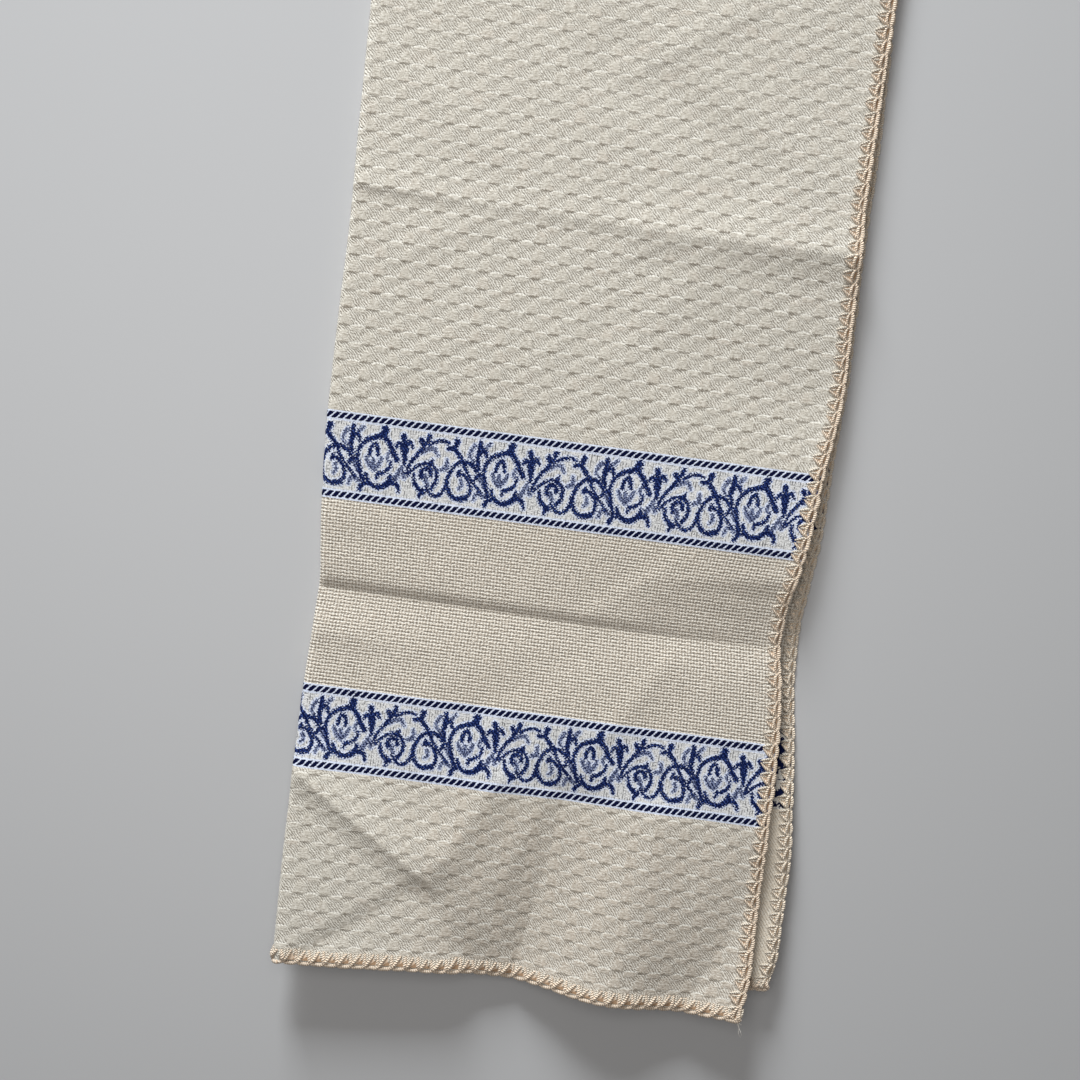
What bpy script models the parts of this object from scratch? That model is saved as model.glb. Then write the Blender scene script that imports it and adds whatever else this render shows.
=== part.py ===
"""Tea towel, folded once along its length and laid flat, with the quarter folds of storage still in it.

Metres, +Z up. X runs across the towel, Y along it from the near hem, and Z is up from the surface it
lies on. The origin is the middle of the underside of its bounding box.

Every piece is a rectangle of the flat cloth, u across and v along, carried into place by towel_point.
"""

import math
from types import SimpleNamespace

import bmesh
import bpy
from mathutils import Vector

MM = 0.001

# The flat towel over its edging, and how thick it is
TOWEL_WIDTH = 457 * MM
TOWEL_LENGTH = 700 * MM
CLOTH_THICKNESS = 1.2 * MM
EDGING_WIDTH = 5.6 * MM
EDGING_THICKNESS = 2.0 * MM
SEAM_GAP = 0.3 * MM

# The fold: u where it crosses the near hem, and how far it slants from the warp
FOLD_AT_HEM = 219 * MM
FOLD_SLANT = math.radians(1.26)

# How the two layers lie on each other
LAYER_GAP = 1.2 * MM
UPPER_EDGE_LIFT = 0.6 * MM
EDGE_EASE = 14 * MM
LEAST_RISE = 0.6 * MM

# The lower layer lifts with the upper one at the near hem, by this share of its rise
FLAP_SHARE = 0.8
FLAP_END = 96 * MM
FLAP_START = 148 * MM

# The near hem is drawn up the towel where its trough touches down
HEM_DRAW = 4.0 * MM
HEM_DRAW_MIDDLE = 80 * MM
HEM_DRAW_REACH = 85 * MM
HEM_DRAW_DEPTH = 90 * MM

# Lines across the cloth and along it that the solids are built on
NEAR_ROW_PITCH = 7.5 * MM
ROW_PITCH = 9 * MM
FAR_ROW_PITCH = 17 * MM
NEAR_ROWS_TO = 100 * MM
FAR_ROWS_FROM = 400 * MM
CREASES = (170.5 * MM, 348 * MM, 524 * MM)
CREASE_ROW_SPREAD = 7 * MM
UPPER_COLUMNS = 23
LOWER_COLUMNS = 12
TURN_COLUMNS = 6

CLOTH_COLOUR = (0.66, 0.61, 0.52, 1)
EDGING_COLOUR = (0.62, 0.47, 0.33, 1)

# Cross sections in millimetres. v is the distance from the near hem. fold, upper and lower are the places
# across of the folded edge and of the two layers' free edges, and climb is how much further up the towel
# the lower free edge lies. left, middle and right are how far the upper layer stands above its lowest place.
SECTION_FIELDS = ("v", "fold", "upper", "lower", "climb", "left", "middle", "right")
SECTIONS = (
    (0, -3.0, 209.0, 221.5, 14.0, 12.6, 9.6, 11.0),
    (20, -4.0, 212.0, 224.3, 12.6, 11.2, 9.0, 10.2),
    (60, -5.2, 211.6, 224.2, 10.5, 8.5, 7.6, 8.4),
    (92, -5.7, 211.2, 221.6, 8.6, 6.4, 6.0, 6.8),
    (125, -6.0, 210.5, 218.4, 7.8, 4.4, 4.6, 5.2),
    (155, -5.2, 207.8, 214.5, 7.0, 3.2, 3.3, 3.6),
    (174, -4.9, 205.4, 213.9, 6.0, 2.4, 2.5, 1.7),
    (190, -6.5, 205.8, 215.3, 5.0, 2.4, 2.5, 3.9),
    (205, -8.0, 208.4, 216.6, 4.6, 2.4, 2.6, 6.1),
    (220, -9.1, 210.4, 218.0, 4.4, 2.4, 2.7, 6.9),
    (248, -10.7, 212.7, 218.2, 4.6, 2.4, 2.8, 5.9),
    (290, -11.2, 216.7, 219.4, 5.2, 2.2, 2.8, 3.4),
    (330, -11.3, 215.4, 218.2, 6.2, 2.2, 2.9, 4.4),
    (348, -11.6, 214.7, 217.8, 7.0, 2.2, 2.9, 5.0),
    (372, -12.5, 213.7, 217.9, 8.0, 2.0, 2.7, 4.4),
    (425, -13.8, 214.0, 216.6, 9.0, 1.4, 2.2, 2.6),
    (500, -15.4, 214.4, 213.2, 9.6, 1.4, 1.8, 2.0),
    (560, -16.6, 214.8, 209.4, 10.0, 1.3, 1.8, 2.0),
    (640, -18.4, 214.6, 205.4, 10.0, 1.1, 1.4, 1.6),
    (700, -19.8, 214.4, 202.0, 10.0, 1.2, 1.4, 2.0),
)

# Creases and soft folds across the upper layer, in millimetres: a line from (x0, y0) to (x1, y1), its rise
# at each end, below zero for a trough, and how far it reaches on its left and right, looking from start to
# end. sharp is 0 for a soft swell and 1 for a pressed crease.
FOLD_FIELDS = ("name", "x0", "y0", "x1", "y1", "rise0", "rise1", "left", "right", "sharp")
FOLDS = (
    ("quarter fold", -8, 171.5, 132, 169.5, -1.6, -1.2, 6, 30, 0.9),
    ("quarter fold, right", 148, 169, 196, 170, -1.3, -1.0, 9, 26, 0.9),
    ("dip at the right edge", 158, 191, 216, 194, -0.3, -0.8, 13, 24, 0.3),
    ("middle fold, left", -14, 350, 52, 348, 0.9, 0.4, 16, 5, 0.9),
    ("middle fold, centre", 68, 348, 104, 347, 0.4, 0.6, 16, 6, 0.9),
    ("middle fold, right", 120, 347, 218, 347, 1.4, 1.8, 22, 18, 0.9),
    ("far quarter fold", -17, 524, 216, 524, 1.3, 1.5, 14, 14, 0.8),
    ("upper left ridge", 0, 84, 58, 47, 2.3, 2.3, 28, 12, 0.9),
    ("lower left valley", 2, 1, 54, 40, -1.2, -0.8, 7, 28, 0.9),
    ("upper right ridge", 68, 58, 86, 92, 1.7, 1.6, 24, 17, 0.7),
    ("lower right valley", 63, 40, 94, -6, -0.5, -2.2, 17, 12, 0.5),
    ("near hem trough", 103, -6, 118, 90, -8.6, -2.0, 42, 38, 0.6),
    ("fold beside the trough", 96, 50, 108, 86, 0.6, 0.6, 14, 8, 0.6),
    ("near hem crest", 148, -6, 160, 84, 3.8, 1.6, 34, 26, 0.3),
    ("corner trough", 179, -8, 213, 66, -3.8, -1.6, 28, 24, 0.5),
    ("valley above the middle fold", 96, 424, 166, 378, -0.5, -0.9, 16, 32, 0.3),
    ("ridge beside it", 104, 414, 150, 446, 0.35, 0.5, 14, 10, 0.3),
    ("slant below the middle fold", 118, 292, 144, 334, 0.4, 0.6, 20, 30, 0.4),
    ("low swell at the right", 112, 282, 144, 260, 0.3, 0.5, 34, 9, 0.4),
    ("left slant below the middle fold", 14, 322, 46, 341, 0.3, 0.35, 14, 9, 0.3),
    ("left slant above the middle fold", 14, 396, 46, 372, 0.25, 0.3, 16, 10, 0.3),
    ("swell above the quarter fold", -12, 203, 34, 203, 0.7, 0.2, 12, 14, 0.1),
    ("swell below the quarter fold", -12, 152, 40, 150, 0.8, 0.2, 14, 10, 0.2),
    ("left slant below the quarter fold", 38, 122, 92, 156, 0.3, 0.2, 12, 26, 0.2),
    ("right slant below the quarter fold", 128, 124, 150, 154, 0.45, 0.3, 20, 12, 0.4),
)
END_FADE = 16 * MM


def rows_of(table, fields):
    """The rows of a table with named fields."""
    return [SimpleNamespace(**dict(zip(fields, row))) for row in table]


def eased(step):
    """0 to 1, starting and ending level."""
    step = min(max(step, 0.0), 1.0)
    return step * step * (3 - 2 * step)


def slopes_through(places, values):
    """The slope at each place of a smooth curve that keeps the values' own highest and lowest points."""
    count = len(places)
    steps = [(values[i + 1] - values[i]) / (places[i + 1] - places[i]) for i in range(count - 1)]
    slopes = [steps[0]] + [0.0] * (count - 2) + [steps[-1]]
    for i in range(1, count - 1):
        before, after = steps[i - 1], steps[i]
        if before * after > 0:
            slopes[i] = 2 * before * after / (before + after)
    return slopes


class Curve:
    """A smooth curve through one field of the cross sections."""

    def __init__(self, places, values):
        self.places, self.values = places, values
        self.slopes = slopes_through(places, values)

    def at(self, place):
        place = min(max(place, self.places[0]), self.places[-1])
        i = max(k for k in range(len(self.places) - 1) if self.places[k] <= place)
        width = self.places[i + 1] - self.places[i]
        step = (place - self.places[i]) / width
        rise = eased(step)
        leaving = step * (1 - step) ** 2 * width * self.slopes[i]
        arriving = -(step**2) * (1 - step) * width * self.slopes[i + 1]
        return self.values[i] * (1 - rise) + self.values[i + 1] * rise + leaving + arriving


def curve_of(field):
    sections = rows_of(SECTIONS, SECTION_FIELDS)
    return Curve([row.v * MM for row in sections], [getattr(row, field) * MM for row in sections])


SECTION = {field: curve_of(field) for field in SECTION_FIELDS[1:]}
FOLD_LINES = rows_of(FOLDS, FOLD_FIELDS)


def fold_rise(fold, x, y):
    """How far one crease or soft fold lifts the upper layer at (x, y)."""
    start = Vector((fold.x0 * MM, fold.y0 * MM))
    run = Vector((fold.x1 * MM, fold.y1 * MM)) - start
    offset = Vector((x, y)) - start
    along = offset.dot(run) / run.length
    aside = run.cross(offset) / run.length
    away = abs(aside) / ((fold.left if aside > 0 else fold.right) * MM)
    if away >= 1:
        return 0.0
    past = max(-along, along - run.length, 0.0)
    share = min(max(along / run.length, 0.0), 1.0)
    rise = (fold.rise0 + (fold.rise1 - fold.rise0) * share) * MM
    return rise * eased(1 - past / END_FADE) * (1 - away) ** 2 * (1 + 2 * away * (1 - fold.sharp))


def upper_rise(x, y):
    """How far the upper layer stands above its lowest place."""
    fold_x, upper_x = SECTION["fold"].at(y), SECTION["upper"].at(y)
    across = min(max((x - fold_x) / (upper_x - fold_x), 0.0), 1.0)
    left, middle, right = (SECTION[field].at(y) for field in ("left", "middle", "right"))
    bend = 4 * across * (1 - across)
    rise = left + (right - left) * across + (middle - (left + right) / 2) * bend
    rise += sum(fold_rise(fold, x, y) for fold in FOLD_LINES)
    return max(rise, LEAST_RISE)


def edge_nearness(u, v):
    """1 on the outline of the flat towel and 0 well inside it."""
    inside = min(u, TOWEL_WIDTH - u, v, TOWEL_LENGTH - v)
    return eased(1 - inside / EDGE_EASE)


def lower_height(u, v, x, y):
    """Middle height of the lower layer: flat on the surface but for the flap at the near hem."""
    resting = CLOTH_THICKNESS / 2 + (EDGING_THICKNESS - CLOTH_THICKNESS) / 2 * edge_nearness(u, v)
    share = FLAP_SHARE * eased((FLAP_START - y) / (FLAP_START - FLAP_END))
    return resting + share * (upper_rise(x, y) - LEAST_RISE)


def upper_height(u, v, x, y):
    """Middle height of the upper layer."""
    spacing = CLOTH_THICKNESS + LAYER_GAP
    return CLOTH_THICKNESS / 2 + spacing + UPPER_EDGE_LIFT * edge_nearness(u, v) + upper_rise(x, y)


def hem_draw(x, v):
    """How far a place near the hem is drawn up the towel."""
    across = eased(1 - abs(x - HEM_DRAW_MIDDLE) / HEM_DRAW_REACH)
    return HEM_DRAW * across * eased(1 - v / HEM_DRAW_DEPTH)


def turn_at_fold(v):
    """The turn of cloth at the fold: u at its middle, its x there, its radius and its middle height."""
    u, x = FOLD_AT_HEM + v * math.tan(FOLD_SLANT), SECTION["fold"].at(v)
    top, bottom = upper_height(u, v, x, v), lower_height(u, v, x, v)
    return u, x, (top - bottom) / 2, (top + bottom) / 2


def towel_point(u, v):
    """Where a point of the flat towel lies: u from the upper layer's free edge, v from the near hem."""
    fold_u, fold_x, radius, fold_z = turn_at_fold(v)
    upper_x, lower_x, climb = (SECTION[field].at(v) for field in ("upper", "lower", "climb"))
    half_turn = math.pi * radius / 2
    inner_x = fold_x + radius
    if u <= fold_u - half_turn:
        x = upper_x + (inner_x - upper_x) * u / (fold_u - half_turn)
        y = v + hem_draw(x, v)
        return Vector((x, y, upper_height(u, v, x, y)))
    if u >= fold_u + half_turn:
        share = (u - fold_u - half_turn) / (TOWEL_WIDTH - fold_u - half_turn)
        x = inner_x + (lower_x - inner_x) * share
        y = v + hem_draw(x, v) + climb * share
        return Vector((x, y, lower_height(u, v, x, y)))
    turn = (u - fold_u) / radius
    x, z = inner_x - radius * math.cos(turn), fold_z - radius * math.sin(turn)
    return Vector((x, v + hem_draw(fold_x, v), z))


def across_lines(first, last, v):
    """The places u of the lines along the towel, from first to last, with the turn in even steps."""
    fold_u, _, radius, _ = turn_at_fold(v)
    turn0, turn1 = fold_u - math.pi * radius / 2, fold_u + math.pi * radius / 2
    upper = [first + (turn0 - first) * i / UPPER_COLUMNS for i in range(UPPER_COLUMNS)]
    turn = [turn0 + (turn1 - turn0) * i / TURN_COLUMNS for i in range(TURN_COLUMNS)]
    lower = [turn1 + (last - turn1) * i / LOWER_COLUMNS for i in range(LOWER_COLUMNS + 1)]
    return upper + turn + lower


def row_pitch(v):
    if v < NEAR_ROWS_TO:
        return NEAR_ROW_PITCH
    return ROW_PITCH if v < FAR_ROWS_FROM else FAR_ROW_PITCH


def along_lines(first, last):
    """The places v of the lines across the towel, with three at each crease from the storage folds."""
    lines = [first]
    while lines[-1] < last - row_pitch(last) / 2:
        lines.append(lines[-1] + row_pitch(lines[-1]))
    lines[-1] = last
    crease_rows = [crease + side * CREASE_ROW_SPREAD for crease in CREASES for side in (-1, 0, 1)]
    plain = [v for v in lines if all(abs(v - crease) > CREASE_ROW_SPREAD / 2 for crease in crease_rows)]
    return sorted(plain + crease_rows)


def sheet_mesh(name, columns, rows, place):
    """An open sheet of columns by rows cells, its corner (i, j) at place(i, j)."""
    sheet = bmesh.new()
    bmesh.ops.create_grid(sheet, x_segments=columns, y_segments=rows, size=0.5)
    for corner in sheet.verts:
        i, j = round((corner.co.x + 0.5) * columns), round((corner.co.y + 0.5) * rows)
        corner.co = place(i, j)
    mesh = bpy.data.meshes.new(name)
    sheet.to_mesh(mesh)
    sheet.free()
    mesh.shade_smooth()
    return mesh


def add_sheet(name, mesh, thickness, material):
    """A sheet object with its thickness to both sides of the mesh."""
    mesh.materials.append(material)
    piece = bpy.data.objects.new(name, mesh)
    shell = piece.modifiers.new("thickness", "SOLIDIFY")
    shell.thickness = thickness
    shell.offset = 0
    bpy.data.collections["tea_towel"].objects.link(piece)
    return piece


def make_material(name, colour, roughness):
    material = bpy.data.materials.new(name)
    material.use_nodes = True
    shader = material.node_tree.nodes["Principled BSDF"]
    shader.inputs["Base Color"].default_value = colour
    shader.inputs["Roughness"].default_value = roughness
    shader.inputs["Metallic"].default_value = 0
    return material


def make_cloth(material):
    """The whole cloth inside its edging: upper layer, folded edge and lower layer in one sheet."""
    inset = EDGING_WIDTH + SEAM_GAP
    rows = along_lines(inset, TOWEL_LENGTH - inset)
    columns = [across_lines(inset, TOWEL_WIDTH - inset, v) for v in rows]
    lines = len(columns[0]) - 1, len(rows) - 1
    mesh = sheet_mesh("cloth", *lines, lambda i, j: towel_point(columns[j][i], rows[j]))
    return add_sheet("cloth", mesh, CLOTH_THICKNESS, material)


def make_hem_edging(name, first, last, material):
    """The stitched edging of one hem, round the fold with the cloth, between v first and last."""
    sides = (first, last)
    columns = [across_lines(0, TOWEL_WIDTH, v) for v in sides]
    mesh = sheet_mesh(name, len(columns[0]) - 1, 1, lambda i, j: towel_point(columns[j][i], sides[j]))
    return add_sheet(name, mesh, EDGING_THICKNESS, material)


def make_side_edging(name, first, last, material):
    """The stitched edging of one long side, between the two hems' edgings, u first to last."""
    sides = (first, last)
    inset = EDGING_WIDTH + SEAM_GAP
    rows = along_lines(inset, TOWEL_LENGTH - inset)
    mesh = sheet_mesh(name, 1, len(rows) - 1, lambda i, j: towel_point(sides[i], rows[j]))
    return add_sheet(name, mesh, EDGING_THICKNESS, material)


def centre_on_origin(pieces):
    """Moves the towel so that its bounding box stands centred on the origin."""
    bpy.context.view_layer.update()
    graph = bpy.context.evaluated_depsgraph_get()
    corners = [Vector(corner) for piece in pieces for corner in piece.evaluated_get(graph).bound_box]
    low = Vector(min(corner[axis] for corner in corners) for axis in range(3))
    high = Vector(max(corner[axis] for corner in corners) for axis in range(3))
    middle = (low + high) / 2
    towel = bpy.data.objects.new("towel", None)
    bpy.data.collections["tea_towel"].objects.link(towel)
    towel.location = (-middle.x, -middle.y, -low.z)
    for piece in pieces:
        piece.parent = towel


def clear_scene():
    for old in list(bpy.data.objects):
        bpy.data.objects.remove(old)
    collection = bpy.data.collections.new("tea_towel")
    bpy.context.scene.collection.children.link(collection)


def main():
    clear_scene()
    cotton = make_material("cream_cotton", CLOTH_COLOUR, 0.9)
    yarn = make_material("tan_yarn", EDGING_COLOUR, 0.85)
    pieces = [
        make_cloth(cotton),
        make_hem_edging("edging_near_hem", 0, EDGING_WIDTH, yarn),
        make_hem_edging("edging_far_hem", TOWEL_LENGTH - EDGING_WIDTH, TOWEL_LENGTH, yarn),
        make_side_edging("edging_upper_side", 0, EDGING_WIDTH, yarn),
        make_side_edging("edging_lower_side", TOWEL_WIDTH - EDGING_WIDTH, TOWEL_WIDTH, yarn),
    ]
    centre_on_origin(pieces)


main()
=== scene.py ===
"""The looks of the tea towel: its woven cloth, its stitched edging, and the light it lies in.

The towel is a flat cloth folded once. A point of the flat cloth is (u, v): u across it from the upper
layer's free edge, v along it from the near hem. towel_points says where that point lies, with the same folds
as the solids, and every piece is built on it. Tables, weaves and stitches are in millimetres, lengths with MM
and places in the frame in metres. s is the place across a weave, counted from the fold.
"""
import math
from types import SimpleNamespace

import bpy
import numpy as np
from mathutils import Euler, Matrix, Vector


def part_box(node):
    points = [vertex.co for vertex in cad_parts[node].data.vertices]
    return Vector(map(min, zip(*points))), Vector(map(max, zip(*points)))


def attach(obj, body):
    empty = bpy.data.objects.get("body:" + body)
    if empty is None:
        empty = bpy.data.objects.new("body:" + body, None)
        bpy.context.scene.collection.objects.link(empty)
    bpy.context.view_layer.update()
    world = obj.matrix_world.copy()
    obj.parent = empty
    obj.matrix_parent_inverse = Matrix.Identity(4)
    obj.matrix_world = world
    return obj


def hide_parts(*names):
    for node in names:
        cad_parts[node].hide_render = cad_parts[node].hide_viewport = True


MM = 0.001

# The flat towel over its edging
TOWEL_WIDTH = 457 * MM
TOWEL_LENGTH = 700 * MM
CLOTH_THICKNESS = 1.2 * MM
EDGING_THICKNESS = 2.0 * MM

# The fold, and how the two layers lie on each other
FOLD_AT_HEM = 219 * MM
FOLD_SLANT = math.radians(1.26)
LAYER_GAP = 1.2 * MM
UPPER_EDGE_LIFT = 0.6 * MM
EDGE_EASE = 14 * MM
LEAST_RISE = 0.6 * MM
FLAP_SHARE = 0.8
FLAP_END = 96 * MM
FLAP_START = 148 * MM
HEM_DRAW = 4.0 * MM
HEM_DRAW_MIDDLE = 80 * MM
HEM_DRAW_REACH = 85 * MM
HEM_DRAW_DEPTH = 90 * MM

# Cross sections. v is the distance from the near hem. fold, upper and lower are the places across of the
# folded edge and of the two free edges, climb is how much further up the towel the lower one lies, and left,
# middle and right are how far the upper layer stands above its lowest place.
SECTION_FIELDS = ("v", "fold", "upper", "lower", "climb", "left", "middle", "right")
SECTIONS = (
    (0, -3.0, 209.0, 221.5, 14.0, 12.6, 9.6, 11.0),
    (20, -4.0, 212.0, 224.3, 12.6, 11.2, 9.0, 10.2),
    (60, -5.2, 211.6, 224.2, 10.5, 8.5, 7.6, 8.4),
    (92, -5.7, 211.2, 221.6, 8.6, 6.4, 6.0, 6.8),
    (125, -6.0, 210.5, 218.4, 7.8, 4.4, 4.6, 5.2),
    (155, -5.2, 207.8, 214.5, 7.0, 3.2, 3.3, 3.6),
    (174, -4.9, 205.4, 213.9, 6.0, 2.4, 2.5, 1.7),
    (190, -6.5, 205.8, 215.3, 5.0, 2.4, 2.5, 3.9),
    (205, -8.0, 208.4, 216.6, 4.6, 2.4, 2.6, 6.1),
    (220, -9.1, 210.4, 218.0, 4.4, 2.4, 2.7, 6.9),
    (248, -10.7, 212.7, 218.2, 4.6, 2.4, 2.8, 5.9),
    (290, -11.2, 216.7, 219.4, 5.2, 2.2, 2.8, 3.4),
    (330, -11.3, 215.4, 218.2, 6.2, 2.2, 2.9, 4.4),
    (348, -11.6, 214.7, 217.8, 7.0, 2.2, 2.9, 5.0),
    (372, -12.5, 213.7, 217.9, 8.0, 2.0, 2.7, 4.4),
    (425, -13.8, 214.0, 216.6, 9.0, 1.4, 2.2, 2.6),
    (500, -15.4, 214.4, 213.2, 9.6, 1.4, 1.8, 2.0),
    (560, -16.6, 214.8, 209.4, 10.0, 1.3, 1.8, 2.0),
    (640, -18.4, 214.6, 205.4, 10.0, 1.1, 1.4, 1.6),
    (700, -19.8, 214.4, 202.0, 10.0, 1.2, 1.4, 2.0),
)

# Creases and soft folds: a line from (x0, y0) to (x1, y1), its rise at each end, below zero for a trough, how
# far it reaches on its left and right, and how sharp it is, from 0 for a swell to 1 for a pressed crease
FOLD_FIELDS = ("name", "x0", "y0", "x1", "y1", "rise0", "rise1", "left", "right", "sharp")
FOLDS = (
    ("quarter fold", -8, 171.5, 132, 169.5, -1.6, -1.2, 6, 30, 0.9),
    ("quarter fold, right", 148, 169, 196, 170, -1.3, -1.0, 9, 26, 0.9),
    ("dip at the right edge", 158, 191, 216, 194, -0.3, -0.8, 13, 24, 0.3),
    ("middle fold, left", -14, 350, 52, 348, 0.9, 0.4, 16, 5, 0.9),
    ("middle fold, centre", 68, 348, 104, 347, 0.4, 0.6, 16, 6, 0.9),
    ("middle fold, right", 120, 347, 218, 347, 1.4, 1.8, 22, 18, 0.9),
    ("far quarter fold", -17, 524, 216, 524, 1.3, 1.5, 14, 14, 0.8),
    ("upper left ridge", 0, 84, 58, 47, 2.3, 2.3, 28, 12, 0.9),
    ("lower left valley", 2, 1, 54, 40, -1.2, -0.8, 7, 28, 0.9),
    ("upper right ridge", 68, 58, 86, 92, 1.7, 1.6, 24, 17, 0.7),
    ("lower right valley", 63, 40, 94, -6, -0.5, -2.2, 17, 12, 0.5),
    ("near hem trough", 103, -6, 118, 90, -8.6, -2.0, 42, 38, 0.6),
    ("fold beside the trough", 96, 50, 108, 86, 0.6, 0.6, 14, 8, 0.6),
    ("near hem crest", 148, -6, 160, 84, 3.8, 1.6, 34, 26, 0.3),
    ("corner trough", 179, -8, 213, 66, -3.8, -1.6, 28, 24, 0.5),
    ("valley above the middle fold", 96, 424, 166, 378, -0.5, -0.9, 16, 32, 0.3),
    ("ridge beside it", 104, 414, 150, 446, 0.35, 0.5, 14, 10, 0.3),
    ("slant below the middle fold", 118, 292, 144, 334, 0.4, 0.6, 20, 30, 0.4),
    ("low swell at the right", 112, 282, 144, 260, 0.3, 0.5, 34, 9, 0.4),
    ("left slant below the middle fold", 14, 322, 46, 341, 0.3, 0.35, 14, 9, 0.3),
    ("left slant above the middle fold", 14, 396, 46, 372, 0.25, 0.3, 16, 10, 0.3),
    ("swell above the quarter fold", -12, 203, 34, 203, 0.7, 0.2, 12, 14, 0.1),
    ("swell below the quarter fold", -12, 152, 40, 150, 0.8, 0.2, 14, 10, 0.2),
    ("left slant below the quarter fold", 38, 122, 92, 156, 0.3, 0.2, 12, 26, 0.2),
    ("right slant below the quarter fold", 128, 124, 150, 154, 0.45, 0.3, 20, 12, 0.4),
)
# Slight folds too low for the solids
SLIGHT_FOLDS = (
    ("plain zone slant", 66, 122, 118, 158, -0.60, -0.45, 28, 14, 0.3),
    ("plain zone slant, right", 134, 122, 156, 156, 0.60, 0.45, 9, 14, 0.4),
    ("quarter fold shoulder, left", -8, 184, 50, 182, 0.45, 0.25, 22, 11, 0.4),
    ("quarter fold shoulder, right", 150, 194, 206, 200, 0.40, 0.60, 8, 20, 0.2),
    ("quarter fold slant", 118, 174, 150, 200, 0.45, 0.40, 9, 26, 0.4),
    ("middle fold crease, near", 44, 322, 57, 336, 0.10, 0.22, 5, 4, 0.9),
    ("middle fold crease", 112, 334, 134, 343, 0.12, 0.25, 5, 4, 0.9),
    ("body slant, left", 18, 270, 44, 290, 0.16, 0.12, 12, 6, 0.5),
    ("body slant, middle", 84, 286, 104, 312, 0.20, 0.12, 12, 7, 0.5),
    ("body slant, far", 62, 434, 104, 404, -0.20, -0.16, 9, 14, 0.5),
)
END_FADE = 16 * MM

# The weaves. Two rope lines of slanted dashes close each band, and narrowing is what the slant takes off a
# dash's width.
ROPE_LINES = (91.2, 124.8, 213.0, 248.1)
ROPE_MARGIN = 2.1
ROPE_SLANT, ROPE_NARROWING = 0.84, 0.77
ROPE_HALF_WIDTH, ROPE_HALF_HEIGHT = 1.09, 1.38
REPEAT = 57.3
DASHES_A_REPEAT = 19
MEDALLION_AT = 20.4
SCALE_WIDTH, SCALE_HEIGHT = 11.4, 7.75
SCALE_AT = (9.7, 1.6)
BASKET_WIDTH, BASKET_HEIGHT = 1.48, 1.53

# Zones of the cloth along v: where each starts and ends, and the pitch of its mesh across and along
CLOTH_INSET = 1.8
CLOTH_END = TOWEL_LENGTH / MM - CLOTH_INSET
BAND_PITCH = 0.5
NEAR_BAND = (ROPE_LINES[0] - ROPE_MARGIN, ROPE_LINES[1] + ROPE_MARGIN)
FAR_BAND = (ROPE_LINES[2] - ROPE_MARGIN, ROPE_LINES[3] + ROPE_MARGIN)
ZONE_FIELDS = ("name", "start", "end", "across", "along", "weave")
ZONES = (
    ("cloth_near_end", CLOTH_INSET, NEAR_BAND[0], SCALE_WIDTH / 10, SCALE_HEIGHT / 8, "scales"),
    ("cloth_near_band", *NEAR_BAND, BAND_PITCH, BAND_PITCH, "band"),
    ("cloth_plain_zone", NEAR_BAND[1], FAR_BAND[0], BASKET_WIDTH / 2, BASKET_HEIGHT / 2, "basket"),
    ("cloth_far_band", *FAR_BAND, BAND_PITCH, BAND_PITCH, "band"),
    ("cloth_body", FAR_BAND[1], CLOTH_END, SCALE_WIDTH / 8, SCALE_HEIGHT / 8, "scales"),
)
# A zone is three grids: a fine one as far across as FINE_TO, a coarse one beyond it, and the back. Each has
# its share of the sheet's map.
FINE_TO = 246
COARSE_LINES, COARSE_PITCH, COARSE_BAND_PITCH = 43, 5.0, 0.9
SHEET_SHARES = ((0.0, 0.62), (0.63, 0.86), (0.87, 1.0))
FACE_HEIGHT = CLOTH_THICKNESS / 2 - 0.1 * MM
RELIEF_FADE = 1.5

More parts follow.
